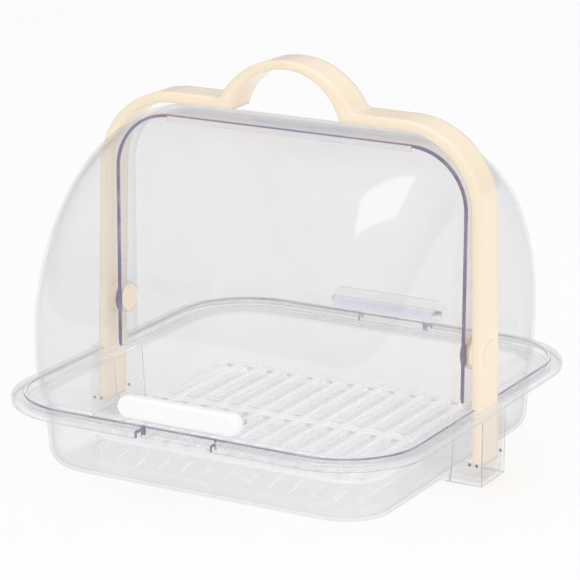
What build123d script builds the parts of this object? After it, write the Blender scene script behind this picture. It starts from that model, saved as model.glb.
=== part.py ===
from build123d import *
import math
import os

os.makedirs("parts", exist_ok=True)

# Double roll-top food box: a clear ribbed-rack tray, two clear quarter-dome lids
# that roll over one another on two side pivots, and a carrying handle frame that
# plugs into the tray. X runs along the front edge, Y to the back, Z up.
# The origin is the middle of the face the tray stands on. Sizes in mm.

# ---- lids (surfaces of revolution about the pivot axis) ----
PIVOT_Z = 94.0              # height of the pivot axis
DOME_RADIUS = 153.5         # outside of the outer (front) lid roof
DOME_HALF_LENGTH = 150.0    # outside of the outer lid end walls
DOME_ROUND = 49.0           # rounding between roof and end wall, outer lid
LID_WALL = 2.2
LID_GAP = 1.7               # air between the two lid shells
LID_BOTTOM_Z = 52.5         # lower edge of both closed lids
FRONT_LID_OVERLAP = 19.0    # front lid reaches this far behind the axis
REAR_LID_OVERLAP = 11.0     # rear lid reaches this far in front of the axis
EDGE_CORNER = 10.0          # rounding of the lower corners beside the pivots
STOP_LIP_DROP = 3.4         # rib under the leading edge of the rear lid
STOP_LIP_THICK = 2.0

# ---- pivots ----
PIN_RADIUS = 4.0
PIN_RUNNING_CLEARANCE = 0.1
PIN_HEAD_RADIUS = 10.0
PIN_HEAD_THICK = 1.5
PIN_HEAD_ROUND = 0.7
HUB_RADIUS = 12.4           # clear rings moulded round the pin holes
HUB_THICK = 0.4
SIDE_PLAY = 0.3             # axial play between neighbours on the pin
BOSS_RADIUS = 12.0          # cream boss on the inside of each leg
CAP_RADIUS = 10.5           # round cover on the outside of each leg
CAP_THICK = 1.6
CAP_PROUD = 0.45
PIN_END_COVER = 0.4         # gap between pin end and cap

# ---- handle frame ----
LEG_GAP = 3.5               # between outer lid end wall and leg, at the pivot axis
LEG_SPLAY = 0.025           # how far a leg leans out, per mm of height
BAR_GAP = 5.6               # between lid roof and bar
HANDLE_THICK = 8.2
HANDLE_WIDTH = 31.0
HANDLE_CORNER = 65.0        # outer corner radius of the frame
HANDLE_EDGE_ROUND = HANDLE_THICK - 5.0
ARCH_OUTER_RADIUS = 62.0
ARCH_RISE = 33.0            # arch crown above the bar
ARCH_CROWN_THICK = HANDLE_THICK - 1.3
ARCH_INNER_RADIUS = 46.5
ARCH_FOOT_ROUND = 6.0
LEG_BOTTOM_Z = 13.0

# ---- tray ----
TUB_HALF_X = DOME_HALF_LENGTH - 5.5     # outside of the tub at its rim
TUB_HALF_Y = DOME_RADIUS - 6.5
TUB_CORNER = 45.0
TUB_WALL = 2.4
TUB_FLOOR = 2.5
TUB_DRAFT = 3.5             # how far the wall leans in over the tub height
TUB_FOOT_ROUND = 14.0
LEDGE_TOP_Z = 50.3
LEDGE_THICK = 2.4
RING_INSET = 8.6            # rim ring, measured in from the flange edge
RING_THICK = 2.6
RING_TOP_Z = 57.0
FLANGE_HALF_X = DOME_HALF_LENGTH + 16.5
FLANGE_HALF_Y = DOME_RADIUS + 20.0
FLANGE_CORNER = 68.0
LIP_THICK = 2.4
LIP_TOP_Z = 55.2
SKIRT_BOTTOM_Z = 49.7
LIP_EDGE_ROUND = 1.6
NOTCH_HALF = 30.0           # finger notch under each grip
NOTCH_ROUND = 5.0

# ---- sockets for the legs ----
SOCKET_CLEARANCE = 0.6      # outside the foot of the leg
SOCKET_SIDE_ROOM = 2.15     # in front of and behind the leg
SOCKET_WALL = 2.0
SOCKET_FLOOR = 2.4
SEAT_RIB_THICK = 2.0
SEAT_RIB_SPACING = 17.0
DETENT_RADIUS = 1.9
DETENT_Z = 16.0
DETENT_DEPTH = 0.9

# ---- drain rack ----
RACK_HALF_X = TUB_HALF_X - 25.5
RACK_HALF_Y = TUB_HALF_Y - 40.0
RACK_CORNER = 30.0
RACK_TOP_Z = 20.0
RACK_PLATE = 2.2
RACK_SKIRT = 2.0
RACK_FLARE = 4.0            # skirt leans out towards its foot
RACK_EDGE_ROUND = 1.5
SLOT_PITCH = 18.0
SLOT_WIDTH = 8.0
SLOT_ROWS_GAP = 14.0        # solid rail between the two rows of slots
SLOT_MARGIN = 13.0
RIB_WIDTH = 3.0
RIB_HEIGHT = 1.6

# ---- grips ----
GRIP_HALF_LENGTH = 49.5
GRIP_HEIGHT = 16.4
GRIP_DEPTH = 10.0
GRIP_MID_Z = 69.0
GRIP_STANDOFF = 7.0         # grip back face to the roof, so that it overhangs the notch
GRIP_FRONT_ROUND = 4.0
GRIP_BACK_ROUND = 1.2
TAB_THICK = 3.0             # clear tab of the lid that the grip is pushed on
TAB_HALF_LENGTH = 48.0
TAB_BITE = 6.0              # how far the tab reaches into the grip
TAB_END_ROUND = 6.0

# ---- derived places ----
INNER_RADIUS = DOME_RADIUS - LID_WALL - LID_GAP
INNER_HALF_LENGTH = DOME_HALF_LENGTH - LID_WALL - LID_GAP
INNER_ROUND = DOME_ROUND - LID_WALL - LID_GAP
LEG_INNER_X = DOME_HALF_LENGTH + LEG_GAP
LEG_OUTER_X = LEG_INNER_X + HANDLE_THICK
LEG_FOOT_SHIFT = LEG_SPLAY * (PIVOT_Z - LEG_BOTTOM_Z)
BAR_BOTTOM_Z = PIVOT_Z + DOME_RADIUS + BAR_GAP
BAR_TOP_Z = BAR_BOTTOM_Z + HANDLE_THICK
ARCH_TOP_Z = BAR_TOP_Z + ARCH_RISE
RACK_FOOT_Z = TUB_FLOOR
SOCKET_INNER_X = LEG_OUTER_X + LEG_FOOT_SHIFT + SOCKET_CLEARANCE
SOCKET_OUTER_X = SOCKET_INNER_X + SOCKET_WALL
SOCKET_INNER_Y = HANDLE_WIDTH / 2 + SOCKET_SIDE_ROOM
SOCKET_OUTER_Y = SOCKET_INNER_Y + SOCKET_WALL
BIG = 400.0


def rounded_plate(half_x, half_y, corner, low_z, high_z):
    """Rounded rectangle standing from low_z to high_z."""
    sketch = RectangleRounded(2 * half_x, 2 * half_y, corner)
    return Pos(0, 0, low_z) * extrude(sketch, amount=high_z - low_z)


def rounded_ring(half_x, half_y, corner, thick, low_z, high_z):
    """Upright wall that follows a rounded rectangle, with the given outside."""
    outer = rounded_plate(half_x, half_y, corner, low_z, high_z)
    inner = rounded_plate(half_x - thick, half_y - thick, corner - thick, low_z - 1, high_z + 1)
    return outer - inner


def drafted_block(half_x, half_y, corner, lean, foot_round, low_z, high_z):
    """Rounded block whose walls lean in by lean towards its filleted foot."""
    angle = math.degrees(math.atan2(lean, high_z - low_z))
    sketch = RectangleRounded(2 * (half_x - lean), 2 * (half_y - lean), corner - lean)
    block = extrude(sketch, amount=high_z - low_z, taper=-angle)
    foot = block.edges().group_by(Axis.Z)[0]
    block = fillet(foot, foot_round)
    return Pos(0, 0, low_z) * block


def box_between(x0, x1, y0, y1, z0, z1):
    """Box from its two corners."""
    block = Box(x1 - x0, y1 - y0, z1 - z0)
    return Pos((x0 + x1) / 2, (y0 + y1) / 2, (z0 + z1) / 2) * block


def cylinder_along_x(radius, x0, x1):
    """Round bar on the pivot axis from x0 to x1."""
    bar = Rot(0, 90, 0) * Cylinder(radius, abs(x1 - x0))
    return Pos((x0 + x1) / 2, 0, PIVOT_Z) * bar


def dome_solid(radius, half_length, rounding):
    """Full round dome body about the pivot axis, rounded at both ends."""
    flat = half_length - rounding
    outline = Polyline(
        (flat, radius),
        (-flat, radius),
    ) + Polyline(
        (-half_length, radius - rounding),
        (-half_length, 0),
        (half_length, 0),
        (half_length, radius - rounding),
    )
    left = CenterArc((-flat, radius - rounding), rounding, 90, 90)
    right = CenterArc((flat, radius - rounding), rounding, 0, 90)
    face = make_face(outline.edges() + left.edges() + right.edges())
    body = revolve(face, axis=Axis.X, revolution_arc=360)
    return Pos(0, 0, PIVOT_Z) * body


def lid_window(near_y, far_y):
    """Side outline of a closed lid, from its rounded edge at near_y to far_y."""
    towards = 1 if far_y > near_y else -1
    corner_y = near_y + towards * EDGE_CORNER
    side = [
        Line((near_y, LID_BOTTOM_Z + EDGE_CORNER), (near_y, BIG)),
        Line((near_y, BIG), (far_y, BIG)),
        Line((far_y, BIG), (far_y, LID_BOTTOM_Z)),
        Line((far_y, LID_BOTTOM_Z), (corner_y, LID_BOTTOM_Z)),
    ]
    start = 180 if towards > 0 else 270
    arc = CenterArc((corner_y, LID_BOTTOM_Z + EDGE_CORNER), EDGE_CORNER, start, 90)
    face = make_face([edge for line in side for edge in line.edges()] + arc.edges())
    plane = Plane(origin=(0, 0, 0), x_dir=(0, 1, 0), z_dir=(1, 0, 0))
    return extrude(plane * face, amount=BIG, both=True)


def lid_shell(radius, half_length, rounding, near_y, far_y):
    """Thin quarter dome between its two side limits."""
    outer = dome_solid(radius, half_length, rounding)
    inner = dome_solid(radius - LID_WALL, half_length - LID_WALL, rounding - LID_WALL)
    return (outer - inner) & lid_window(near_y, far_y)


def grip_back_y(radius):
    """Distance of the flat back of a grip from the middle plane."""
    rise = GRIP_MID_Z + GRIP_HEIGHT / 2 - PIVOT_Z
    return math.sqrt(radius ** 2 - rise ** 2) + GRIP_STANDOFF - 1.0


def grip_tab(radius, half_length, rounding, side):
    """Clear tab that stands out from a lid and carries the grip."""
    reach = grip_back_y(radius) + TAB_BITE
    sketch = Rectangle(2 * TAB_HALF_LENGTH, 2 * reach)
    sketch = fillet(sketch.vertices(), TAB_END_ROUND)
    slab = Pos(0, 0, GRIP_MID_Z - TAB_THICK / 2) * extrude(sketch, amount=TAB_THICK)
    bore = dome_solid(radius - LID_WALL / 2, half_length - LID_WALL / 2, rounding - LID_WALL / 2)
    half = box_between(-BIG, BIG, 0, BIG, 0, BIG)
    if side < 0:
        half = box_between(-BIG, BIG, -BIG, 0, 0, BIG)
    return (slab - bore) & half


def pin_hole():
    """Running hole through both end walls of a lid."""
    return cylinder_along_x(PIN_RADIUS + PIN_RUNNING_CLEARANCE, -BIG, BIG)


def hubs(first_x, second_x):
    """Ring on the pivot axis between two distances, on both sides."""
    right = cylinder_along_x(HUB_RADIUS, first_x, second_x)
    left = cylinder_along_x(HUB_RADIUS, -second_x, -first_x)
    return right + left


def make_front_lid():
    """Outer lid, over the front half of the box."""
    lid = lid_shell(DOME_RADIUS, DOME_HALF_LENGTH, DOME_ROUND, FRONT_LID_OVERLAP, -BIG)
    lid += grip_tab(DOME_RADIUS, DOME_HALF_LENGTH, DOME_ROUND, -1)
    return lid - pin_hole()


def make_rear_lid():
    """Inner lid, over the rear half, with a rib under its leading edge."""
    lid = lid_shell(INNER_RADIUS, INNER_HALF_LENGTH, INNER_ROUND, -REAR_LID_OVERLAP, BIG)
    flat = INNER_HALF_LENGTH - INNER_ROUND
    lip_top = PIVOT_Z + math.sqrt((INNER_RADIUS - LID_WALL / 2) ** 2 - REAR_LID_OVERLAP ** 2)
    lip_low = PIVOT_Z + INNER_RADIUS - LID_WALL - STOP_LIP_DROP
    lip_back = -REAR_LID_OVERLAP + STOP_LIP_THICK
    lid += box_between(-flat, flat, -REAR_LID_OVERLAP, lip_back, lip_low, lip_top)
    lid += grip_tab(INNER_RADIUS, INNER_HALF_LENGTH, INNER_ROUND, 1)
    inside = INNER_HALF_LENGTH - LID_WALL
    lid += hubs(inside - HUB_THICK, inside + LID_WALL / 2)
    lid += hubs(INNER_HALF_LENGTH - LID_WALL / 2, INNER_HALF_LENGTH + LID_GAP - SIDE_PLAY)
    return lid - pin_hole()


def make_grip(radius, side):
    """Rounded bar pushed onto the tab of a lid."""
    back = grip_back_y(radius)
    sketch = SlotOverall(2 * GRIP_HALF_LENGTH, GRIP_HEIGHT)
    bar = extrude(Plane.XZ * sketch, amount=GRIP_DEPTH)
    bar = Pos(0, -back, GRIP_MID_Z) * bar
    front = bar.edges().group_by(Axis.Y)[0]
    bar = fillet(front, GRIP_FRONT_ROUND)
    rear = bar.edges().group_by(Axis.Y)[-1]
    bar = fillet(rear, GRIP_BACK_ROUND)
    if side > 0:
        bar = mirror(bar, about=Plane.XZ)
    return bar - grip_tab(radius, radius, LID_WALL * 2, side)


def frame_outline(leg_x, low_z, bar_z, corner):
    """Solid outline of the frame without its arch, leg_x from the middle at the pivots."""
    foot_x = leg_x + LEG_SPLAY * (PIVOT_Z - low_z)
    top_x = leg_x - LEG_SPLAY * (bar_z - PIVOT_Z)
    sheet = make_face(
        Polyline((-foot_x, low_z), (foot_x, low_z), (top_x, bar_z), (-top_x, bar_z), close=True)
    )
    top = sheet.vertices().group_by(Axis.Y)[-1]
    return fillet(top, corner)


def make_handle_frame():
    """Bent bar with two legs, straight top and a raised finger arch."""
    outer = frame_outline(LEG_OUTER_X, LEG_BOTTOM_Z, BAR_TOP_Z, HANDLE_CORNER)
    crown = Pos(0, ARCH_TOP_Z - ARCH_OUTER_RADIUS) * Circle(ARCH_OUTER_RADIUS)
    above = Pos(0, BAR_BOTTOM_Z + BIG / 2) * Rectangle(BIG, BIG)
    outer = outer + (crown & above)
    foot = [
        vertex
        for vertex in outer.vertices()
        if abs(vertex.Y - BAR_TOP_Z) < 0.01 and abs(vertex.X) < ARCH_OUTER_RADIUS
    ]
    outer = fillet(foot, ARCH_FOOT_ROUND)
    low = LEG_BOTTOM_Z - 5
    inner = frame_outline(LEG_INNER_X, low, BAR_BOTTOM_Z, HANDLE_CORNER - HANDLE_THICK)
    inner_crown_z = ARCH_TOP_Z - ARCH_CROWN_THICK
    inner = inner + Pos(0, inner_crown_z - ARCH_INNER_RADIUS) * Circle(ARCH_INNER_RADIUS)
    band = outer - inner
    frame = extrude(Plane.XZ * band, amount=HANDLE_WIDTH / 2, both=True)
    long_edges = frame.edges().filter_by(
        lambda edge: abs(abs(edge.center().Y) - HANDLE_WIDTH / 2) < 0.01
        and edge.bounding_box().size.Y < 0.01
        and edge.center().Z > LEG_BOTTOM_Z + 0.1
    )
    frame = fillet(long_edges, HANDLE_EDGE_ROUND)
    for side in (-1, 1):
        boss_end = DOME_HALF_LENGTH + SIDE_PLAY
        frame += cylinder_along_x(BOSS_RADIUS, side * boss_end, side * (LEG_INNER_X + 1))
        frame -= cylinder_along_x(PIN_RADIUS, side * (boss_end - 1), side * pin_end_x())
        frame -= cylinder_along_x(CAP_RADIUS, side * (LEG_OUTER_X - CAP_THICK), side * BIG)
    return frame


def pin_end_x():
    """Outer end of the pivot pin."""
    return LEG_OUTER_X - CAP_THICK - PIN_END_COVER


def make_pin(side):
    """Pivot pin with a round button head inside the box."""
    head_outer = INNER_HALF_LENGTH - LID_WALL - HUB_THICK - SIDE_PLAY
    head_inner = head_outer - PIN_HEAD_THICK
    head = cylinder_along_x(PIN_HEAD_RADIUS, side * head_inner, side * head_outer)
    rim = head.edges().sort_by(Axis.X)
    inner_rim = rim[0] if side > 0 else rim[-1]
    head = fillet(inner_rim, PIN_HEAD_ROUND)
    return head + cylinder_along_x(PIN_RADIUS, side * (head_outer - 0.5), side * pin_end_x())


def make_cap(side):
    """Round cover pressed into the outside of a leg."""
    inner = LEG_OUTER_X - CAP_THICK
    cap = cylinder_along_x(CAP_RADIUS, side * inner, side * (LEG_OUTER_X + CAP_PROUD))
    rim = cap.edges().sort_by(Axis.X)
    outer_rim = rim[-1] if side > 0 else rim[0]
    return fillet(outer_rim, CAP_PROUD * 0.8)


def socket_block(side):
    """Outside of the box that takes one leg, from the tub to beyond the leg."""
    start = TUB_HALF_X - TUB_DRAFT - TUB_FOOT_ROUND
    block = box_between(start, SOCKET_OUTER_X, -SOCKET_OUTER_Y, SOCKET_OUTER_Y, 0, RING_TOP_Z)
    upright = block.edges().filter_by(Axis.Z).group_by(Axis.X)[-1]
    block = fillet(upright, SOCKET_WALL * 0.6)
    return block if side > 0 else mirror(block, about=Plane.YZ)


def socket_room(side):
    """Hollow of one socket with its seat ribs left standing."""
    room = box_between(
        TUB_HALF_X - TUB_DRAFT - TUB_FOOT_ROUND,
        SOCKET_INNER_X,
        -SOCKET_INNER_Y,
        SOCKET_INNER_Y,
        SOCKET_FLOOR,
        BIG,
    )
    for offset in (-SEAT_RIB_SPACING / 2, SEAT_RIB_SPACING / 2):
        room -= box_between(
            0,
            BIG,
            offset - SEAT_RIB_THICK / 2,
            offset + SEAT_RIB_THICK / 2,
            0,
            LEG_BOTTOM_Z,
        )
    return room if side > 0 else mirror(room, about=Plane.YZ)


def detents(side):
    """Small round snap marks on the front wall of a socket."""
    middle = side * (LEG_INNER_X + HANDLE_THICK / 2 + LEG_FOOT_SHIFT)
    marks = []
    for offset in (-2.9, 2.9):
        mark = Rot(90, 0, 0) * Cylinder(DETENT_RADIUS, DETENT_DEPTH + 1)
        shift = DETENT_DEPTH / 2 - 0.5
        marks.append(Pos(middle + offset, -SOCKET_OUTER_Y - shift, DETENT_Z) * mark)
    return marks


def notch_cutter():
    """Rounded cut through the outer lip under both grips."""
    depth = FLANGE_HALF_Y - RING_INSET
    outline = Rectangle(2 * NOTCH_HALF, BIG)
    cutter = Pos(0, 0, 0) * extrude(outline, amount=BIG)
    keep = box_between(-BIG, BIG, -depth, depth, -1, BIG + 1)
    return cutter - keep


def lip_ring():
    """Outer lip of the flange with its down-turned skirt and finger notches."""
    ring_x = FLANGE_HALF_X - RING_INSET
    ring_y = FLANGE_HALF_Y - RING_INSET
    ring_r = FLANGE_CORNER - RING_INSET
    block = rounded_plate(
        FLANGE_HALF_X, FLANGE_HALF_Y, FLANGE_CORNER, SKIRT_BOTTOM_Z, LIP_TOP_Z
    )
    block = fillet(block.edges().group_by(Axis.Z)[-1], LIP_EDGE_ROUND)
    block -= rounded_plate(
        FLANGE_HALF_X - LIP_THICK,
        FLANGE_HALF_Y - LIP_THICK,
        FLANGE_CORNER - LIP_THICK,
        SKIRT_BOTTOM_Z - 1,
        LIP_TOP_Z - LIP_THICK,
    )
    inset = RING_THICK / 2
    block -= rounded_plate(ring_x - inset, ring_y - inset, ring_r - inset, 0, BIG)
    block -= notch_cutter()
    tips = [
        edge
        for edge in block.edges().filter_by(Axis.Z)
        if abs(abs(edge.center().X) - NOTCH_HALF) < 0.01
        and abs(abs(edge.center().Y) - FLANGE_HALF_Y) < 0.3
    ]
    if tips:
        block = fillet(tips, LIP_EDGE_ROUND)
    return block


def make_base_tray():
    """Clear tub with its stepped flange and two leg sockets."""
    rim_z = LEDGE_TOP_Z
    tub = drafted_block(
        TUB_HALF_X, TUB_HALF_Y, TUB_CORNER, TUB_DRAFT, TUB_FOOT_ROUND, 0, rim_z
    )
    ring_x = FLANGE_HALF_X - RING_INSET
    ring_y = FLANGE_HALF_Y - RING_INSET
    ring_r = FLANGE_CORNER - RING_INSET
    ledge = rounded_plate(ring_x, ring_y, ring_r, rim_z - LEDGE_THICK, rim_z)
    ring = rounded_ring(ring_x, ring_y, ring_r, RING_THICK, rim_z - LEDGE_THICK, RING_TOP_Z)
    ring = fillet(ring.edges().group_by(Axis.Z)[-1], RING_THICK * 0.3)
    tray = tub + ledge + ring + lip_ring()
    for side in (-1, 1):
        tray += socket_block(side)
    hollow_x = TUB_HALF_X - TUB_WALL
    hollow_y = TUB_HALF_Y - TUB_WALL
    for side in (-1, 1):
        wall_band = drafted_block(
            TUB_HALF_X, TUB_HALF_Y, TUB_CORNER, TUB_DRAFT, TUB_FOOT_ROUND, 0, rim_z
        )
        tray -= socket_room(side) - wall_band
        mouth = box_between(
            LEG_INNER_X - SOCKET_CLEARANCE,
            SOCKET_INNER_X,
            -SOCKET_INNER_Y,
            SOCKET_INNER_Y,
            LEG_BOTTOM_Z,
            BIG,
        )
        tray -= mouth if side > 0 else mirror(mouth, about=Plane.YZ)
    tray -= drafted_block(
        hollow_x,
        hollow_y,
        TUB_CORNER - TUB_WALL,
        TUB_DRAFT,
        TUB_FOOT_ROUND - TUB_WALL,
        TUB_FLOOR,
        rim_z + 0.001,
    )
    above = rounded_plate(
        ring_x - RING_THICK, ring_y - RING_THICK, ring_r - RING_THICK, rim_z, BIG
    )
    tray -= above
    for side in (-1, 1):
        for mark in detents(side):
            tray += mark
    return tray


def slot_centres():
    """X places of the drain slots, spread evenly about the middle."""
    reach = RACK_HALF_X - SLOT_MARGIN / 2 - SLOT_WIDTH / 2
    count = int(reach // SLOT_PITCH)
    return [SLOT_PITCH * step for step in range(-count, count + 1)]


def make_drain_rack():
    """Raised slotted plate on a skirt that stands on the tub floor."""
    high = RACK_TOP_Z - RACK_FOOT_Z
    angle = math.degrees(math.atan2(RACK_FLARE, high))
    foot = RectangleRounded(
        2 * (RACK_HALF_X + RACK_FLARE), 2 * (RACK_HALF_Y + RACK_FLARE), RACK_CORNER + RACK_FLARE
    )
    body = extrude(foot, amount=high, taper=angle)
    body = fillet(body.edges().group_by(Axis.Z)[-1], RACK_EDGE_ROUND)
    under = RectangleRounded(
        2 * (RACK_HALF_X + RACK_FLARE - RACK_SKIRT),
        2 * (RACK_HALF_Y + RACK_FLARE - RACK_SKIRT),
        RACK_CORNER + RACK_FLARE - RACK_SKIRT,
    )
    body -= extrude(under, amount=high - RACK_PLATE, taper=angle)
    row_length = RACK_HALF_Y - SLOT_MARGIN - SLOT_ROWS_GAP / 2
    row_middle = SLOT_ROWS_GAP / 2 + row_length / 2
    slot = SlotOverall(row_length, SLOT_WIDTH, rotation=90)
    cuts = []
    ribs = []
    places = slot_centres()
    for x in places:
        for y in (-row_middle, row_middle):
            cuts.append(Pos(x, y, 0) * extrude(slot, amount=BIG))
    for x in places[:-1]:
        middle = x + SLOT_PITCH / 2
        rib = SlotOverall(2 * (RACK_HALF_Y - SLOT_MARGIN), RIB_WIDTH, rotation=90)
        low = high - RACK_PLATE / 2
        ribs.append(Pos(middle, 0, low) * extrude(rib, amount=RACK_PLATE / 2 + RIB_HEIGHT))
    body = body - cuts
    body = body + ribs
    return Pos(0, 0, RACK_FOOT_Z) * body


def save(shape, name):
    """Writes one piece under its own name."""
    shape.label = name
    export_step(shape, "parts/" + name + ".step")
    print(name, round(shape.volume, 1), len(shape.solids()), shape.is_valid)


def main():
    """Builds and writes every piece."""
    save(make_base_tray(), "base_tray")
    save(make_drain_rack(), "drain_rack")
    save(make_front_lid(), "front_lid")
    save(make_rear_lid(), "rear_lid")
    save(make_grip(DOME_RADIUS, -1), "front_grip")
    save(make_grip(INNER_RADIUS, 1), "rear_grip")
    save(make_handle_frame(), "handle_frame")
    save(make_pin(-1), "left_pivot_pin")
    save(make_pin(1), "right_pivot_pin")
    save(make_cap(-1), "left_pivot_cap")
    save(make_cap(1), "right_pivot_cap")


main()
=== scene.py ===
import math

import bpy
from mathutils import Matrix, Vector

# Clear roll-top food box with a cream carrying frame and white lid grips, in a
# white studio. Metres, in the CAD frame: X along the front, Y back, Z up.
# Every CAD node stays as it is; this script gives each its material, and adds
# the floor, the lights and the camera.

# ---- places of the box that its materials need ----
PIVOT_Z = 0.094

REAR_LID_EDGE_Y = -0.011     # leading edge of the inner lid
FRONT_LID_EDGE_Y = 0.019     # trailing edge of the outer lid
REAR_LID_RADIUS = 0.1496
LID_FOOT_Z = 0.0525
LIP_HALF_LENGTH = 0.1010     # rib under the leading edge of the inner lid
PIN_HEAD_RADIUS = 0.010
HUB_RADIUS = 0.0124
CAP_REACH = 0.014            # edges by the pivot caps stay sharp to here
EASED_REACH = 0.020          # and are fully eased from here

GRIP_MID_Z = 0.0690
TAB_START_Y = 0.120          # the painted band behind a grip starts here
TAB_PROUD_Y = 0.1520         # the tab stands out of the lid's wall from here
TAB_BAND_HALF = 0.0435       # half length of that band
TAB_END = 0.048              # end face of the tab

FLANGE_HALF_X = 0.1665
FLANGE_HALF_Y = 0.1735
FLANGE_CORNER = 0.068
RING_INSET = 0.0086
RING_THICK = 0.0026
RING_TOP_Z = 0.057
LIP_TOP_Z = 0.0552
LIP_THICK = 0.0024
LEDGE_TOP_Z = 0.0503
SKIRT_BOTTOM_Z = 0.0497
NOTCH_HALF = 0.030
NOTCH_SHADE_WIDTH = 0.0035   # dark block on the ring beside one notch end

TUB_FOOT_X = 0.1410          # outside of the tub end at the floor
TUB_LEAN = 0.07              # outward lean of the tub wall per height
SOCKET_OUTER_X = 0.1663
SOCKET_OUTER_Y = 0.01965
# snap detents on the socket walls, each with a painted shade dot
DETENT_X = (0.15673, 0.16253)
DETENT_Z = 0.016
DETENT_SHADE_RADIUS = 0.0013

RACK_TOP_Z = 0.020
RIB_PITCH = 0.018
SLOT_INNER_Y = 0.007
SLOT_OUTER_Y = 0.094
SLOT_MARK_HALF = 0.0026
STROKE_LOW_Z = 0.0045        # light strokes on the rack's skirt start here
STROKE_HIGH_Z = 0.0150
STROKE_HALF = 0.0012
STROKE_SLANT = -0.9

# ---- colours, linear ----
WHITE = (1.0, 1.0, 1.0)
LID_CLEAR = (0.958, 0.958, 0.960)
LID_GRAZING = (0.905, 0.903, 0.918)
TRAY_CLEAR = (0.978, 0.978, 0.980)
TRAY_GRAZING = (0.83, 0.83, 0.842)
RACK_CLEAR = (0.985, 0.985, 0.99)
MILK = (0.88, 0.88, 0.885)
# painted shade along the lids' cut edges
VIOLET = (0.085, 0.05, 0.23)
# painted shade lines on the tray's flange and sockets
TRAY_EDGE_SHADE = (0.075, 0.06, 0.16)
PALE_VIOLET = (0.62, 0.59, 0.72)
TAB_TONE = (0.72, 0.72, 0.87)
# painted highlights on the tray's flange and the rack's ribs and rail
HIGHLIGHT_WHITE = (0.97, 0.97, 0.975)
RACK_WHITE = (0.93, 0.93, 0.945)
RACK_DEEP = (0.87, 0.868, 0.885)
SLOT_SHADE = (0.50, 0.49, 0.58)
GRIP_WHITE = (0.93, 0.935, 0.94)
GRIP_DEEP = (0.90, 0.90, 0.92)
CREAM = (0.925, 0.80, 0.625)
CREAM_DEEP = (0.915, 0.765, 0.58)
FLOOR_LIGHT = (0.95, 0.95, 0.95)
FLOOR_DEEP = (0.93, 0.93, 0.93)
SKY_LOW = (0.42, 0.42, 0.43)     # what gloss sees near the horizon
SKY_HIGH = (0.92, 0.92, 0.92)

# ---- strength of each painted line or face, 0 to 1: painted shade lines, painted highlights (crest, lip edge, skirt, rib, rail) and tinted faces ----
TAB_SHARE = 0.75
TAB_END_SHARE = 0.65
HUB_SHARE = 0.42
INNER_FOOT_SHARE = 0.30
INNER_EDGE_SHARE = 0.12
OUTER_FOOT_SHARE = 0.45
OUTER_EDGE_SHARE = 0.16
RING_OUTSIDE_SHARE = 0.80
RING_INSIDE_SHARE = 0.62
RING_FOOT_SHARE = 0.12
LEDGE_SHARE = 0.40
SKIRT_FOOT_SHARE = 0.42
STEP_SHARE = 0.34
NOTCH_SHARE = 0.90
NOTCH_BLOCK_SHARE = 0.95
PLATE_SHARE = 0.13
CREST_SHARE = 0.75
LIP_EDGE_SHARE = 0.60
SKIRT_SHARE = 0.16
SOCKET_CORNER_SHARE = 0.70
SOCKET_JOINT_SHARE = 0.60
SOCKET_RIM_SHARE = 0.55
DETENT_SHARE = 0.95
RACK_PLATE_SHARE = 0.46
RACK_RIB_SHARE = 0.26
RACK_RAIL_SHARE = 0.22
STROKE_SHARE = 0.30
SLOT_END_SHARE = 0.50

# ---- clear plastic ----
TINT_FALLOFF = 3.0           # how late the grazing tint sets in
SHINE_FALLOFF = 5.0
SHINE_GAIN = 0.40
SHINE_BASE = 0.04
BODY_ROUGHNESS = 0.22
SEE_THROUGH_LAYERS = 64

# ---- studio ----
FLOOR_REACH = 12.0
FLOOR_DROP = 0.0002
WORLD_STRENGTH = 0.95
WINDOW_PLACE = (0.2, 0.05, 2.0)
WINDOW_WIDTH = 1.65
WINDOW_HEIGHT = 1.1
WINDOW_WATTS = 9.0
KEY_TOWARDS = (0.75, -0.8, 1.3)
KEY_STRENGTH = 0.52
KEY_SOFTNESS = math.radians(70)

# ---- camera ----
VIEW_AZIMUTH = math.radians(28.90)
VIEW_ELEVATION = math.radians(15.82)
VIEW_ROLL = math.radians(0.22)
VIEW_DISTANCE = 2.1152
VIEW_TARGET = Vector((-0.0124, 0.0181, 0.1133))
VIEW_LENS = 175.46
SENSOR = 36.0
CLIP_END = 100.0


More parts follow.
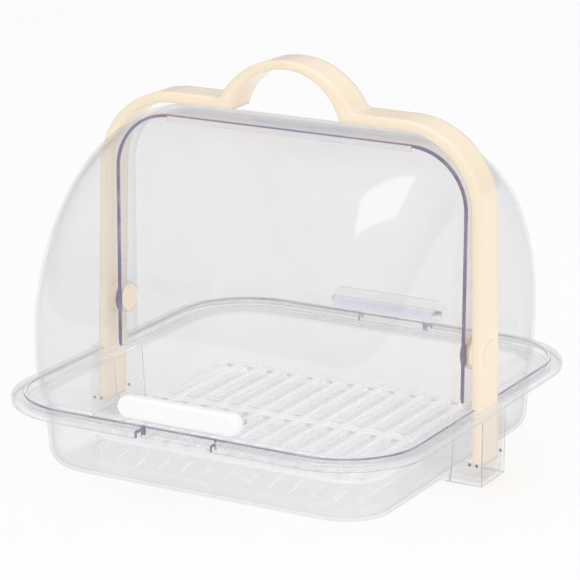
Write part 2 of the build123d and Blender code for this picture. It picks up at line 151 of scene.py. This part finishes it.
class Tree:
    """Adds and links the nodes of one material or world."""

    def __init__(self, tree):
        self.tree = tree
        tree.nodes.clear()

    def node(self, kind, inputs=None, **settings):
        """New node with its settings, and its inputs by name or number."""
        made = self.tree.nodes.new(kind)
        for key, value in settings.items():
            setattr(made, key, value)
        for key, value in (inputs or {}).items():
            self.put(made.inputs[key], value)
        return made

    def put(self, socket, value):
        """Links a socket to the input, or sets the input's own value."""
        if isinstance(value, bpy.types.NodeSocket):
            self.tree.links.new(value, socket)
        elif isinstance(value, tuple) and socket.type == "RGBA":
            socket.default_value = (*value, 1.0)
        else:
            socket.default_value = value

    def math(self, operation, first, second=0.0, third=0.0, clamp=False):
        """One number from up to three numbers."""
        made = self.node("ShaderNodeMath", operation=operation, use_clamp=clamp)
        for socket, value in zip(made.inputs, (first, second, third)):
            self.put(socket, value)
        return made.outputs[0]

    def vector(self, operation, first, second=(0.0, 0.0, 0.0), output=0):
        """One vector or number from one or two vectors."""
        made = self.node("ShaderNodeVectorMath", operation=operation)
        self.put(made.inputs[0], first)
        self.put(made.inputs[1], second)
        return made.outputs[output]

    def far(self, value):
        """Distance of a coordinate from zero."""
        return self.math("ABSOLUTE", value)

    def blend(self, share, first, second):
        """Colour between two colours."""
        made = self.node("ShaderNodeMix", data_type="RGBA")
        self.put(made.inputs[0], share)
        self.put(made.inputs[6], first)
        self.put(made.inputs[7], second)
        return made.outputs[2]

    def mix(self, share, first, second):
        """Surface between two surfaces."""
        return self.node("ShaderNodeMixShader", {0: share, 1: first, 2: second}).outputs[0]

    def rise(self, value, low, high):
        """Smooth step from 0 at low to 1 at high."""
        made = self.node(
            "ShaderNodeMapRange",
            {"Value": value, "From Min": low, "From Max": high},
            interpolation_type="SMOOTHSTEP",
        )
        return made.outputs[0]

    def fall(self, value, low, high):
        """Smooth step from 1 at low to 0 at high."""
        return self.math("SUBTRACT", 1.0, self.rise(value, low, high))

    def below(self, value, limit, soft):
        """1 under a limit, with a soft edge."""
        return self.rise(value, limit + soft, limit - soft)

    def band(self, value, low, high, soft):
        """1 between low and high, with soft edges."""
        up = self.rise(value, low - soft, low + soft)
        down = self.rise(value, high - soft, high + soft)
        return self.math("SUBTRACT", up, down, clamp=True)

    def scaled(self, share, factor):
        """A number times a factor."""
        return self.math("MULTIPLY", share, factor)

    def all_of(self, shares):
        """Product of several shares."""
        whole = shares[0]
        for share in shares[1:]:
            whole = self.math("MULTIPLY", whole, share)
        return whole

    def either(self, shares):
        """Largest of several shares."""
        best = shares[0]
        for share in shares[1:]:
            best = self.math("MAXIMUM", best, share)
        return best

    def noise(self, place, scale, detail=2.0, roughness=0.5):
        """Soft noise around 0.5."""
        made = self.node(
            "ShaderNodeTexNoise",
            {"Vector": place, "Scale": scale, "Detail": detail, "Roughness": roughness},
        )
        return made.outputs[0]

    def uneven(self, place, scale, gain, base, detail=2.0):
        """Noise times gain, plus base."""
        return self.math("ADD", self.scaled(self.noise(place, scale, detail), gain), base)

    def bump(self, height, depth, strength, under=None):
        """Normal of a relief, depth in metres, on another normal."""
        inputs = {"Height": height, "Distance": depth, "Strength": strength}
        if under is not None:
            inputs["Normal"] = under
        return self.node("ShaderNodeBump", inputs).outputs[0]

    def transparent(self, colour):
        """See-through film."""
        return self.node("ShaderNodeBsdfTransparent", {"Color": colour}).outputs[0]

    def spot(self):
        """Position on the piece."""
        return self.node("ShaderNodeTexCoord").outputs["Object"]

    def place(self):
        """Position on the piece and its X, Y and Z."""
        spot = self.spot()
        parts = self.node("ShaderNodeSeparateXYZ", {0: spot})
        return spot, parts.outputs[0], parts.outputs[1], parts.outputs[2]


def new_material(name):
    """Empty node material and its tree."""
    material = bpy.data.materials.new(name)
    material.use_nodes = True
    return material, Tree(material.node_tree)


def pivot_reach(t, spot):
    """Distance of a spot from the pivot axis."""
    flat = t.vector("MULTIPLY", spot, (0.0, 1.0, 1.0))
    from_pivot = t.vector("SUBTRACT", flat, (0.0, 0.0, PIVOT_Z))
    return t.vector("LENGTH", from_pivot, output=1)


def edge_inset(t, spot):
    """How far a spot lies in from the outline of the tray's flange."""
    half = (FLANGE_HALF_X - FLANGE_CORNER, FLANGE_HALF_Y - FLANGE_CORNER, 1.0)
    past = t.vector("SUBTRACT", t.vector("ABSOLUTE", spot), half)
    outside = t.vector("MAXIMUM", past)
    distance = t.vector("LENGTH", outside, output=1)
    parts = t.node("ShaderNodeSeparateXYZ", {0: past})
    deepest = t.math("MAXIMUM", parts.outputs[0], parts.outputs[1])
    inside = t.math("MINIMUM", deepest, 0.0)
    return t.math("SUBTRACT", FLANGE_CORNER, t.math("ADD", distance, inside))


def lets_light_through(t, surface):
    """The surface as the eye and gloss see it, but open to the light of lamps and sky."""
    path = t.node("ShaderNodeLightPath")
    lit = t.math("MAXIMUM", path.outputs["Is Shadow Ray"], path.outputs["Is Diffuse Ray"])
    return t.mix(lit, surface, t.transparent(WHITE))


def clear_plastic(name, cuts, head_on, grazing, milk=0.035, gloss=0.10):
    """Clear plastic: see-through film, a gloss coat, and opaque painted shade lines and painted
    highlights along its cut edges.

    cuts takes the tree, spot, x, y and z, and returns (share, colour).
    """
    material, t = new_material(name)
    spot, x, y, z = t.place()
    facing = t.node("ShaderNodeLayerWeight", {"Blend": 0.5}).outputs["Facing"]
    share, colour = cuts(t, spot, x, y, z)

    waves = t.bump(t.noise(spot, 9.0, 1.0), 0.0012, 0.35)
    skin = t.bump(t.noise(spot, 160.0), 0.000012, 0.3, waves)

    tint = t.blend(t.math("POWER", facing, TINT_FALLOFF), head_on, grazing)
    film = t.uneven(spot, 22.0, milk * 0.6, milk * 0.7, 3.0)
    # Where the cuts paint a line, the film turns opaque and carries its colour: painted shade or
    # painted highlight.
    solid = t.math("ADD", film, share, clamp=True)
    body = t.node(
        "ShaderNodeBsdfPrincipled",
        {
            "Base Color": t.blend(share, MILK, colour),
            "Roughness": BODY_ROUGHNESS,
            "Normal": skin,
        },
    )
    lower = t.mix(solid, t.transparent(tint), body.outputs[0])
    coat = t.node(
        "ShaderNodeBsdfAnisotropic", {"Color": WHITE, "Roughness": gloss, "Normal": skin}
    )
    falloff = t.math("POWER", facing, SHINE_FALLOFF)
    shine = t.math("MULTIPLY_ADD", falloff, SHINE_GAIN, SHINE_BASE)
    whole = t.mix(shine, lower, coat.outputs[0])
    t.node("ShaderNodeOutputMaterial", {"Surface": lets_light_through(t, whole)})
    return material


def tab_shares(t, x, y, z):
    """Share and colour of a lid behind its grip, and share of the painted shade on the tab's
    ends.
    """
    far_x = t.far(x)
    far_y = t.far(y)
    band = t.scaled(
        t.all_of([
            t.band(z, GRIP_MID_Z - 0.0040, GRIP_MID_Z + 0.0040, 0.0005),
            t.below(far_x, TAB_BAND_HALF, 0.0015),
            t.rise(far_y, TAB_START_Y, TAB_START_Y + 0.001),
        ]),
        TAB_SHARE,
    )
    tint = t.blend(t.rise(band, 0.1, 0.6), PALE_VIOLET, TAB_TONE)
    ends = t.all_of([
        t.rise(far_x, TAB_END - 0.0006, TAB_END - 0.0003),
        t.band(z, GRIP_MID_Z - 0.0022, GRIP_MID_Z + 0.0022, 0.0003),
        t.rise(far_y, TAB_PROUD_Y, TAB_PROUD_Y + 0.0004),
    ])
    return band, tint, t.scaled(ends, TAB_END_SHARE)


def rear_lid_cuts(t, spot, x, y, z):
    """Painted shade on the inner lid: dark violet lines along its leading edge and round the
    hubs, and a paler line along its foot.
    """
    edge = t.fall(y, REAR_LID_EDGE_Y + 0.0012, REAR_LID_EDGE_Y + 0.0020)
    foot = t.fall(z, LID_FOOT_Z + 0.0012, LID_FOOT_Z + 0.0028)
    reach = pivot_reach(t, spot)
    beside_rib = t.rise(t.far(x), LIP_HALF_LENGTH - 0.001, LIP_HALF_LENGTH + 0.001)
    above_rib = t.rise(reach, REAR_LID_RADIUS - 0.0013, REAR_LID_RADIUS - 0.0007)
    on_roof = t.math("MAXIMUM", beside_rib, above_rib)
    tone = t.uneven(spot, 60.0, 0.4, 0.8)
    line = t.math("MULTIPLY", t.math("MULTIPLY", edge, on_roof), tone, clamp=True)
    hub = t.band(reach, PIN_HEAD_RADIUS + 0.0006, HUB_RADIUS + 0.0002, 0.0003)
    tab, tint, ends = tab_shares(t, x, y, z)
    dark = t.either([line, t.scaled(hub, HUB_SHARE), ends])
    low = t.scaled(foot, INNER_FOOT_SHARE)
    lip = t.scaled(edge, INNER_EDGE_SHARE)
    share = t.either([dark, low, lip, tab])
    return share, t.blend(dark, tint, VIOLET)


def front_lid_cuts(t, spot, x, y, z):
    """Faint painted shade lines along the trailing edge and the foot of the outer lid."""
    edge = t.rise(y, FRONT_LID_EDGE_Y - 0.0022, FRONT_LID_EDGE_Y - 0.0010)
    foot = t.fall(z, LID_FOOT_Z + 0.0012, LID_FOOT_Z + 0.0026)
    tone = t.uneven(spot, 60.0, 0.5, 0.6)
    lines = t.either([t.scaled(edge, OUTER_EDGE_SHARE), t.scaled(foot, OUTER_FOOT_SHARE)])
    tab, tint, ends = tab_shares(t, x, y, z)
    share = t.either([t.math("MULTIPLY", lines, tone), tab, ends])
    return share, t.blend(ends, tint, VIOLET)


def notch_shares(t, x, y, z, on_flange):
    """Painted shade: dark ends of the finger notches, and a dark block on the ring beside one
    end.
    """
    far_y = t.far(y)
    ring_y = FLANGE_HALF_Y - RING_INSET
    ends = t.all_of([
        t.band(t.far(x), NOTCH_HALF - 0.0008, NOTCH_HALF + 0.0010, 0.0003),
        t.rise(far_y, ring_y - 0.0004, ring_y),
        on_flange,
    ])
    turned = t.math("MULTIPLY", x, t.math("SIGN", y))
    block = t.all_of([
        t.band(turned, NOTCH_HALF - NOTCH_SHADE_WIDTH, NOTCH_HALF, 0.0003),
        t.rise(far_y, ring_y - 0.0010, ring_y - 0.0008),
        t.rise(z, LEDGE_TOP_Z - 0.0003, LEDGE_TOP_Z + 0.0001),
    ])
    return [t.scaled(ends, NOTCH_SHARE), t.scaled(block, NOTCH_BLOCK_SHARE)]


def flange_lines(t, spot, x, y, z):
    """Shares of the painted shade lines, the pale plate and the painted highlights on the crests,
    lip edge and skirt of the flange.
    """
    inset = edge_inset(t, spot)
    ring_end = RING_INSET + RING_THICK
    on_flange = t.rise(z, SKIRT_BOTTOM_Z - 0.0009, SKIRT_BOTTOM_Z - 0.0003)
    over_lip = t.rise(z, LIP_TOP_Z + 0.0001, LIP_TOP_Z + 0.0005)
    on_top = t.rise(z, LIP_TOP_Z - 0.0026, LIP_TOP_Z - 0.0022)

    wall_out = t.band(inset, RING_INSET - 0.0006, RING_INSET + 0.0005, 0.0002)
    wall_in = t.band(inset, ring_end - 0.0004, ring_end + 0.0004, 0.0002)
    ledge = t.all_of([
        t.band(inset, ring_end - 0.0006, ring_end + 0.0010, 0.0003),
        t.band(z, LEDGE_TOP_Z - 0.0005, LEDGE_TOP_Z + 0.0006, 0.0002),
    ])
    foot = t.all_of([
        t.below(z, SKIRT_BOTTOM_Z + 0.0007, 0.0002),
        t.below(inset, LIP_THICK, 0.0003),
        on_flange,
    ])
    step = t.all_of([t.band(inset, LIP_THICK, LIP_THICK + 0.0006, 0.0002), on_top])
    # Painted shade: dark lines on the ring walls, the ledge, the skirt foot, the step and the
    # notch ends.
    dark = t.either([
        t.scaled(t.all_of([wall_out, over_lip]), RING_OUTSIDE_SHARE),
        t.scaled(t.all_of([wall_in, over_lip]), RING_INSIDE_SHARE),
        t.scaled(t.all_of([wall_out, on_flange]), RING_FOOT_SHARE),
        t.scaled(ledge, LEDGE_SHARE),
        t.scaled(foot, SKIRT_FOOT_SHARE),
        t.scaled(step, STEP_SHARE),
        *notch_shares(t, x, y, z, on_flange),
    ])

    plate = t.all_of([t.band(inset, LIP_THICK, RING_INSET, 0.0003), on_top, on_flange])

    # Painted highlights: white lines on the ring top, patchy glints along the lip edge, and a
    # pale line on the skirt.
    crest = t.all_of([
        t.band(inset, RING_INSET + 0.0008, ring_end - 0.0006, 0.0003),
        t.rise(z, RING_TOP_Z - 0.0008, RING_TOP_Z - 0.0004),
    ])
    lip_edge = t.all_of([
        t.band(inset, 0.0006, 0.0016, 0.0003),
        t.rise(z, LIP_TOP_Z - 0.0012, LIP_TOP_Z - 0.0006),
        t.rise(t.noise(spot, 26.0), 0.38, 0.60),
    ])
    skirt = t.all_of([
        t.below(inset, 0.0012, 0.0004),
        t.rise(z, SKIRT_BOTTOM_Z + 0.0010, SKIRT_BOTTOM_Z + 0.0014),
    ])
    white = t.either([
        t.scaled(crest, CREST_SHARE),
        t.scaled(lip_edge, LIP_EDGE_SHARE),
        t.scaled(skirt, SKIRT_SHARE),
    ])
    return dark, t.scaled(plate, PLATE_SHARE), white


def detent_shade(t, far_x, far_y, z):
    """Painted shade dots at the snap detents on the front and back walls of the sockets."""
    marks = []
    for mark_x in DETENT_X:
        across = t.math("POWER", t.math("SUBTRACT", far_x, mark_x), 2.0)
        up = t.math("POWER", t.math("SUBTRACT", z, DETENT_Z), 2.0)
        apart = t.math("SQRT", t.math("ADD", across, up))
        near = t.below(apart, DETENT_SHADE_RADIUS, 0.0003)
        on_wall = t.rise(far_y, SOCKET_OUTER_Y - 0.00065, SOCKET_OUTER_Y - 0.00025)
        marks.append(t.all_of([near, on_wall]))
    return t.either(marks)


def socket_lines(t, x, y, z):
    """Painted shade on the leg sockets: dark corner, joint and foot lines, and dark dots at the
    snap detents.
    """
    far_x = t.far(x)
    far_y = t.far(y)
    low = t.below(z, SKIRT_BOTTOM_Z - 0.0007, 0.0004)
    at_end = t.rise(far_x, SOCKET_OUTER_X - 0.0010, SOCKET_OUTER_X - 0.0006)
    at_side = t.rise(far_y, SOCKET_OUTER_Y - 0.0010, SOCKET_OUTER_Y - 0.0006)
    beyond = t.rise(far_x, TUB_FOOT_X - 0.004, TUB_FOOT_X - 0.003)
    within = t.below(far_y, SOCKET_OUTER_Y + 0.0006, 0.0002)
    corner = t.all_of([at_end, at_side, low])
    wall = t.math("ADD", t.scaled(z, TUB_LEAN), TUB_FOOT_X)
    from_wall = t.math("SUBTRACT", far_x, wall)
    joint = t.all_of([t.band(from_wall, -0.0008, 0.0008, 0.0003), at_side, within, low])
    rim = t.all_of([t.either([at_end, at_side]), t.below(z, 0.0008, 0.0002), beyond, within])
    return t.either([
        t.scaled(corner, SOCKET_CORNER_SHARE),
        t.scaled(joint, SOCKET_JOINT_SHARE),
        t.scaled(rim, SOCKET_RIM_SHARE),
        t.scaled(detent_shade(t, far_x, far_y, z), DETENT_SHARE),
    ])


def tray_cuts(t, spot, x, y, z):
    """Painted shade lines and painted highlights on the flange, notch ends and socket corners of
    the clear tray.
    """
    dark, pale, white = flange_lines(t, spot, x, y, z)
    dark = t.math("MAXIMUM", dark, socket_lines(t, x, y, z))
    tone = t.uneven(spot, 45.0, 0.7, 0.62, 3.0)
    share = t.math("MULTIPLY", t.either([dark, pale, white]), tone, clamp=True)
    # Painted shade lines take the dark edge colour and painted highlights the highlight white.
    tint = t.blend(t.rise(dark, 0.0, 0.3), PALE_VIOLET, TRAY_EDGE_SHADE)
    whiter = t.rise(t.math("SUBTRACT", white, dark), 0.0, 0.1)
    return share, t.blend(whiter, tint, HIGHLIGHT_WHITE)


def skirt_strokes(t, spot, x, z):
    """Slanting strokes at the rib pitch on the skirt of the rack."""
    along = t.math("ADD", x, t.scaled(z, STROKE_SLANT))
    return t.all_of([
        t.below(t.math("PINGPONG", along, RIB_PITCH / 2), STROKE_HALF, 0.0006),
        t.band(z, STROKE_LOW_Z, STROKE_HIGH_Z, 0.0015),
        t.rise(t.noise(spot, 55.0), 0.36, 0.50),
    ])


def slot_end_marks(t, x, far_y, plate):
    """Shaded ends of the two rows of drain slots."""
    over_slot = t.below(t.math("PINGPONG", x, RIB_PITCH / 2), SLOT_MARK_HALF, 0.0008)
    at_ends = t.math(
        "ADD",
        t.band(far_y, SLOT_INNER_Y - 0.0010, SLOT_INNER_Y + 0.0016, 0.0004),
        t.band(far_y, SLOT_OUTER_Y - 0.0016, SLOT_OUTER_Y + 0.0010, 0.0004),
    )
    return t.all_of([over_slot, at_ends, plate])


def frosted_rack():
    """Clear rack with a milky plate, ribs and rail whitened partly by their frosting and partly
    by painted highlights, painted shade at the slot ends, and a nearly clear skirt.
    """
    material, t = new_material("rack_frosted")
    spot, x, y, z = t.place()
    cloud = t.noise(spot, 35.0, 3.0)
    skin = t.bump(t.noise(spot, 60.0), 0.0001, 0.3)
    far_y = t.far(y)

    rib = t.rise(z, RACK_TOP_Z + 0.0001, RACK_TOP_Z + 0.0010)
    plate = t.rise(z, RACK_TOP_Z - 0.0026, RACK_TOP_Z - 0.0020)
    rail = t.all_of([t.below(far_y, SLOT_INNER_Y - 0.0012, 0.0006), plate])
    slot_ends = slot_end_marks(t, x, far_y, plate)
    stroke = skirt_strokes(t, spot, x, z)

    tint = t.blend(t.scaled(cloud, 0.6), RACK_WHITE, RACK_DEEP)
    # Ribs and rail turn towards the painted highlight white.
    white = t.blend(t.math("MAXIMUM", rib, rail), tint, HIGHLIGHT_WHITE)
    body = t.node(
        "ShaderNodeBsdfPrincipled",
        {
            "Base Color": t.blend(slot_ends, white, SLOT_SHADE),
            "Roughness": 0.28,
            "Normal": skin,
            "Coat Weight": 0.25,
            "Coat Roughness": 0.12,
        },
    )
    haze = t.math("ADD", t.scaled(cloud, 0.05), 0.01)
    raised = t.math("MAXIMUM", t.scaled(rib, RACK_RIB_SHARE), t.scaled(rail, RACK_RAIL_SHARE))
    top = t.math("ADD", t.scaled(plate, RACK_PLATE_SHARE), raised)
    marks = t.math("MAXIMUM", t.scaled(stroke, STROKE_SHARE), t.scaled(slot_ends, SLOT_END_SHARE))
    solid = t.math("ADD", haze, t.math("MAXIMUM", top, marks), clamp=True)
    whole = t.mix(solid, t.transparent(RACK_CLEAR), body.outputs[0])
    t.node("ShaderNodeOutputMaterial", {"Surface": lets_light_through(t, whole)})
    return material


def moulded_plastic(name, light, deep, roughness, edge):
    """Opaque glossy moulded plastic with a faint uneven skin and eased edges."""
    material, t = new_material(name)
    spot = t.spot()
    away_from_cap = t.rise(pivot_reach(t, spot), CAP_REACH, EASED_REACH)
    easing = {"Radius": t.scaled(away_from_cap, edge)}
    eased = t.node("ShaderNodeBevel", easing, samples=6).outputs[0]
    orange_peel = t.bump(t.noise(spot, 420.0), 0.000006, 0.3, eased)
    skin = t.bump(t.noise(spot, 30.0, 1.0), 0.0001, 0.2, orange_peel)
    patchy = t.math("MULTIPLY_ADD", t.noise(spot, 90.0, 3.0, 0.6), 0.05, roughness)
    body = t.node(
        "ShaderNodeBsdfPrincipled",
        {
            "Base Color": t.blend(t.scaled(t.noise(spot, 14.0, 3.0), 0.7), light, deep),
            "Roughness": patchy,
            "Coat Weight": 0.35,
            "Coat Roughness": 0.10,
            "Normal": skin,
        },
    )
    t.node("ShaderNodeOutputMaterial", {"Surface": body.outputs[0]})
    return material


def paint(node_names, material):
    """Gives CAD nodes a material in all their slots."""
    for name in node_names:
        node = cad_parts[name]
        if not node.material_slots:
            node.data.materials.append(material)
        for slot in node.material_slots:
            slot.material = material


def add_floor():
    """Large pale floor under the box."""
    reach = FLOOR_REACH
    mesh = bpy.data.meshes.new("studio_floor")
    outline = [(-reach, -reach, 0), (reach, -reach, 0), (reach, reach, 0), (-reach, reach, 0)]
    mesh.from_pydata(outline, [], [(0, 1, 2, 3)])
    floor = bpy.data.objects.new("studio_floor", mesh)
    floor.location.z = -FLOOR_DROP
    bpy.context.scene.collection.objects.link(floor)
    material, t = new_material("studio_floor")
    tone = t.blend(t.noise(t.spot(), 3.0), FLOOR_DEEP, FLOOR_LIGHT)
    body = t.node("ShaderNodeBsdfPrincipled", {"Base Color": tone, "Roughness": 0.6})
    t.node("ShaderNodeOutputMaterial", {"Surface": body.outputs[0]})
    mesh.materials.append(material)


def add_window():
    """Bright overhead rectangle that only shows as a reflection in gloss."""
    light = bpy.data.lights.new("overhead_window", "AREA")
    light.shape = "RECTANGLE"
    light.size = WINDOW_WIDTH
    light.size_y = WINDOW_HEIGHT
    light.energy = WINDOW_WATTS
    holder = bpy.data.objects.new("overhead_window", light)
    holder.location = WINDOW_PLACE
    holder.rotation_euler = (0.0, 0.0, VIEW_AZIMUTH)
    holder.visible_diffuse = False
    bpy.context.scene.collection.objects.link(holder)


def add_key():
    """Very soft key light from the front right, the same over the whole floor."""
    light = bpy.data.lights.new("key", "SUN")
    light.angle = KEY_SOFTNESS
    light.energy = KEY_STRENGTH
    holder = bpy.data.objects.new("key", light)
    holder.rotation_euler = Vector(KEY_TOWARDS).to_track_quat("Z", "Y").to_euler()
    holder.visible_glossy = False
    bpy.context.scene.collection.objects.link(holder)


def light_studio():
    """White surroundings, darker in reflections, with a window and a key light."""
    world = bpy.data.worlds.new("studio")
    world.use_nodes = True
    bpy.context.scene.world = world
    t = Tree(world.node_tree)
    path = t.node("ShaderNodeLightPath")
    way = t.node("ShaderNodeTexCoord").outputs["Generated"]
    high = t.node("ShaderNodeSeparateXYZ", {0: way}).outputs[2]
    sky = t.blend(t.rise(high, 0.0, 0.8), SKY_LOW, SKY_HIGH)
    seen = t.blend(path.outputs["Is Glossy Ray"], WHITE, sky)
    back = t.node("ShaderNodeBackground", {"Color": seen, "Strength": WORLD_STRENGTH})
    t.node("ShaderNodeOutputWorld", {"Surface": back.outputs[0]})
    add_window()
    add_key()


def add_camera():
    """Camera at the photographed view."""
    side = Vector((math.cos(VIEW_AZIMUTH), math.sin(VIEW_AZIMUTH), 0.0))
    back = Vector((
        math.sin(VIEW_AZIMUTH) * math.cos(VIEW_ELEVATION),
        -math.cos(VIEW_AZIMUTH) * math.cos(VIEW_ELEVATION),
        math.sin(VIEW_ELEVATION),
    ))
    up = back.cross(side)
    right = side * math.cos(VIEW_ROLL) + up * math.sin(VIEW_ROLL)
    upright = up * math.cos(VIEW_ROLL) - side * math.sin(VIEW_ROLL)
    lens = bpy.data.cameras.new("camera")
    lens.sensor_width = SENSOR
    lens.lens = VIEW_LENS
    lens.clip_end = CLIP_END
    camera = bpy.data.objects.new("camera", lens)
    turn = Matrix((right, upright, back)).transposed().to_4x4()
    camera.matrix_world = Matrix.Translation(VIEW_TARGET + back * VIEW_DISTANCE) @ turn
    bpy.context.scene.collection.objects.link(camera)
    bpy.context.scene.camera = camera


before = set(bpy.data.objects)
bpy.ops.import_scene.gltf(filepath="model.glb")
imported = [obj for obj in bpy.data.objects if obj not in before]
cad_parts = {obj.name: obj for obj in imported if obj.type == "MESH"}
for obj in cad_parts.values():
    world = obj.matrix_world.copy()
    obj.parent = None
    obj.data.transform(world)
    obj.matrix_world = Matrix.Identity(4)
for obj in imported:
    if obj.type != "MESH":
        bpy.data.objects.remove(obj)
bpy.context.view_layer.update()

add_camera()
add_floor()
light_studio()

bpy.context.scene.view_settings.view_transform = "Standard"
bpy.context.scene.cycles.transparent_max_bounces = SEE_THROUGH_LAYERS

paint(["front_lid"], clear_plastic("front_lid_clear", front_lid_cuts, LID_CLEAR, LID_GRAZING))
paint(["rear_lid"], clear_plastic("rear_lid_clear", rear_lid_cuts, LID_CLEAR, LID_GRAZING))
paint(
    ["base_tray"],
    clear_plastic("tray_clear", tray_cuts, TRAY_CLEAR, TRAY_GRAZING, milk=0.022, gloss=0.08),
)
paint(["drain_rack"], frosted_rack())
paint(
    ["front_grip", "rear_grip"],
    moulded_plastic("grip_white", GRIP_WHITE, GRIP_DEEP, roughness=0.16, edge=0.003),
)
paint(
    ["handle_frame", "left_pivot_pin", "right_pivot_pin", "left_pivot_cap", "right_pivot_cap"],
    moulded_plastic("handle_cream", CREAM, CREAM_DEEP, roughness=0.22, edge=0.006),
)
